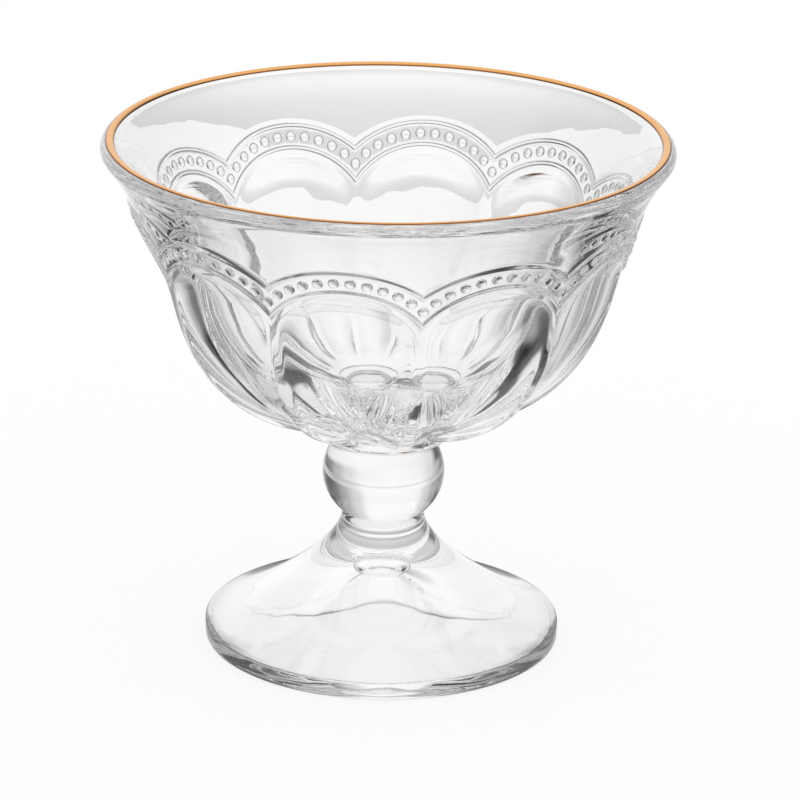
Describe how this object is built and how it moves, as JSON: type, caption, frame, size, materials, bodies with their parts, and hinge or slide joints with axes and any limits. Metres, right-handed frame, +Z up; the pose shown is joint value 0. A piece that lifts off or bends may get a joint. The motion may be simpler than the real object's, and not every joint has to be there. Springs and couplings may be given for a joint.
{
  "type": "dessert glass",
  "caption": "footed dessert glass of clear pressed glass with hollow flutes, beaded arches round the bowl, a ball knop on a bell foot and a gilt lip",
  "frame": {"origin": "centre of the standing ring, on the table", "axes": "+Z up along the axis of the glass; a cusp of the beaded garland faces -Y"},
  "size_m": [0.11, 0.11, 0.102],
  "materials": {
    "clear_glass": "fire-polished",
    "gilding": "fired gold, polished"
  },
  "bodies": {
    "root": {"bowl": "clear_glass", "merese": "clear_glass", "knop": "clear_glass", "foot": "clear_glass", "gilt_rim": "gilding"}
  },
  "joints": []
}
